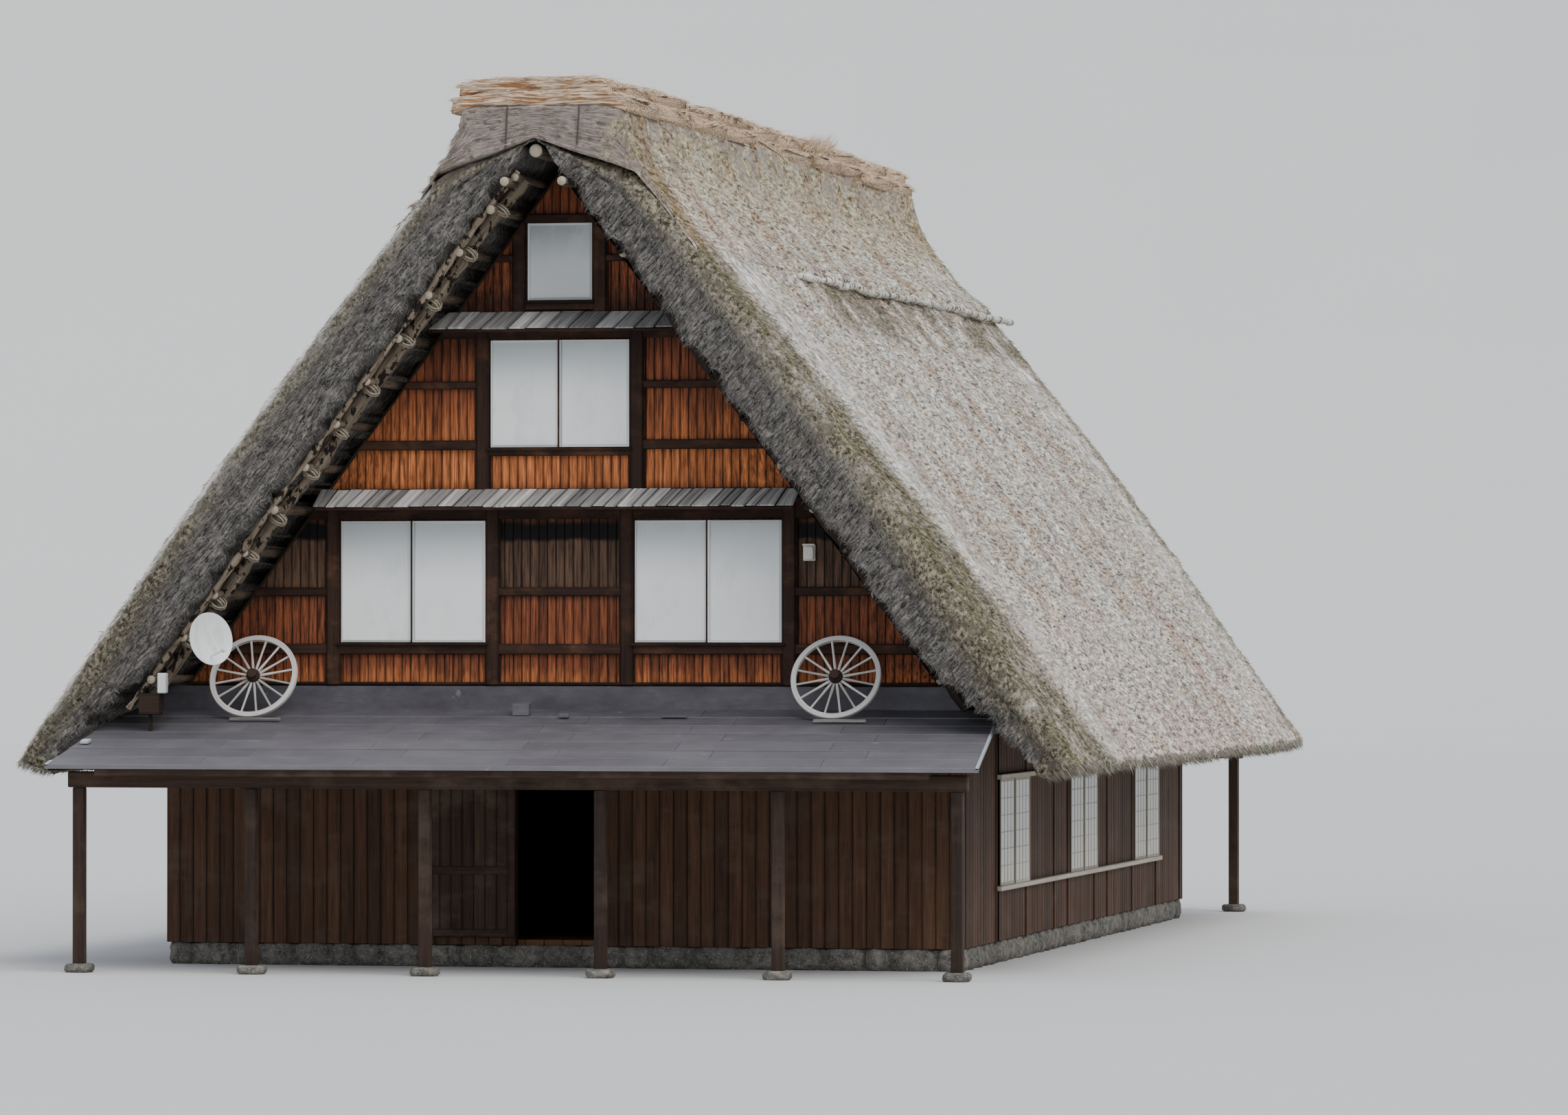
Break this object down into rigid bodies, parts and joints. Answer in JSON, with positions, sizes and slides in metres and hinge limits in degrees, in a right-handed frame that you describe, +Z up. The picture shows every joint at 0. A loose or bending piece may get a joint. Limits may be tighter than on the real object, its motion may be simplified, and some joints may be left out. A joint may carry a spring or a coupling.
{
  "type": "minka farmhouse",
  "caption": "Steep thatched farmhouse with boarded gables, shuttered windows, shingled pents, metal porch roofs and a straw ridge cap.",
  "frame": {"origin": "centre of the house's base, on the ground", "axes": "+Z up, +Y along the ridge from the pictured front gable to the rear gable, +X to the right seen from the front"},
  "size_m": [12.26, 20.18, 10.08],
  "materials": {
    "thatch": "weathered grass thatch, matt",
    "ridge_thatch": "weathered grass thatch in layers, matt",
    "cap_straw": "pale straw bundles, matt",
    "pole": "round poles, bark off, weathered",
    "gable_boards": "red-brown oiled boards, worn orange",
    "ground_boards": "dark brown boards",
    "floor_boards": "smoke-darkened planks",
    "timber": "dark stained timber",
    "panel": "white paper on a light grid",
    "shingle": "silver-grey split shingles",
    "porch_metal": "faded dark sheet with seams",
    "stone": "rough field stone",
    "wheel_wood": "bleached grey oak",
    "dish_paint": "white paint",
    "lamp_plastic": "off-white housing"
  },
  "bodies": {
    "root": {"thatch_right": "thatch", "thatch_left": "thatch", "ridge_saddle": "ridge_thatch", "ridge_cap": "cap_straw", "roof_frame_right": "pole", "roof_frame_left": "pole", "ridge_pole": "pole", "slope_pole_right": "pole", "slope_pole_left": "pole", "foundation": "stone", "ground_floor": "floor_boards", "floor_2": "floor_boards", "floor_3": "floor_boards", "floor_4": "floor_boards", "right_wall": "ground_boards", "left_wall": "ground_boards", "rear_wall": "ground_boards", "front_wall_left": "ground_boards", "front_wall_right": "ground_boards", "front_wall_lintel": "ground_boards", "entrance_door": "timber", "right_windows": "panel", "left_windows": "panel", "front_boards_2": "gable_boards", "front_boards_3": "gable_boards", "front_boards_4": "gable_boards", "front_gable_frame": "timber", "front_window_lower_left": "panel", "front_window_lower_right": "panel", "front_window_middle": "panel", "front_window_top": "panel", "front_pent_lower": "shingle", "front_pent_upper": "shingle", "front_porch_roof": "porch_metal", "front_porch_posts": "timber", "front_porch_rafters": "timber", "rear_boards_2": "gable_boards", "rear_boards_3": "gable_boards", "rear_boards_4": "gable_boards", "rear_gable_frame": "timber", "rear_window_lower_left": "panel", "rear_window_lower_right": "panel", "rear_window_middle": "panel", "rear_window_top": "panel", "rear_pent_lower": "shingle", "rear_pent_upper": "shingle", "rear_porch_roof": "porch_metal", "rear_porch_posts": "timber", "rear_porch_rafters": "timber", "cart_wheel_left": "wheel_wood", "cart_wheel_right": "wheel_wood", "satellite_dish": "dish_paint", "wall_lamp": "lamp_plastic"}
  },
  "joints": []
}
